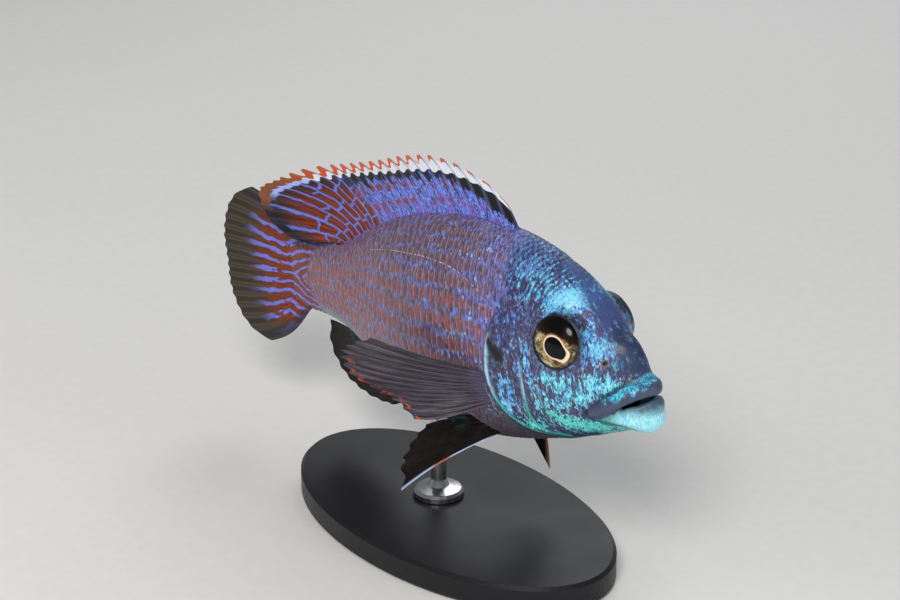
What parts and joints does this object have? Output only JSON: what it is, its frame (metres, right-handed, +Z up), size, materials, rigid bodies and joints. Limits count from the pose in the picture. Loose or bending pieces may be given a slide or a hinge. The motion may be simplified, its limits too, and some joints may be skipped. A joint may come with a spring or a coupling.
{
  "type": "cichlid fish",
  "caption": "Life-size deep-bodied cichlid fish with spread fins and thick lips, swimming, held by one rod on an oval display base.",
  "frame": {"origin": "centre of the base's underside", "axes": "+X to where the fish faces, along its snout-to-tail chord; +Y to the fish's left; +Z up"},
  "size_m": [0.1956, 0.068, 0.1138],
  "materials": {
    "head_skin": "wet blue skin with turquoise flecks",
    "lip_skin": "smooth pale turquoise lip",
    "body_scales": "violet-blue scales with rust-red dashes",
    "tail_scales": "violet scales with rust-red dashes",
    "eye": "black pupil in a gold-ringed iris",
    "dorsal_membrane": "violet-blue with rust bars, black and white margin",
    "caudal_membrane": "rust bars between violet-blue lines",
    "dark_membrane": "blackish fin membrane",
    "pectoral_membrane": "clear grey-brown fin membrane",
    "stand_lacquer": "satin black",
    "stand_steel": "brushed"
  },
  "bodies": {
    "root": {"head": "head_skin", "lower_jaw": "lip_skin", "torso": "body_scales", "tail_stem": "tail_scales", "eye_right": "eye", "eye_left": "eye", "dorsal_fin": "dorsal_membrane", "caudal_fin": "caudal_membrane", "anal_fin": "dark_membrane", "pelvic_fin_right": "dark_membrane", "pelvic_fin_left": "dark_membrane", "pectoral_fin_right": "pectoral_membrane", "pectoral_fin_left": "pectoral_membrane", "stand_base": "stand_lacquer", "stand_rod": "stand_steel"}
  },
  "joints": []
}
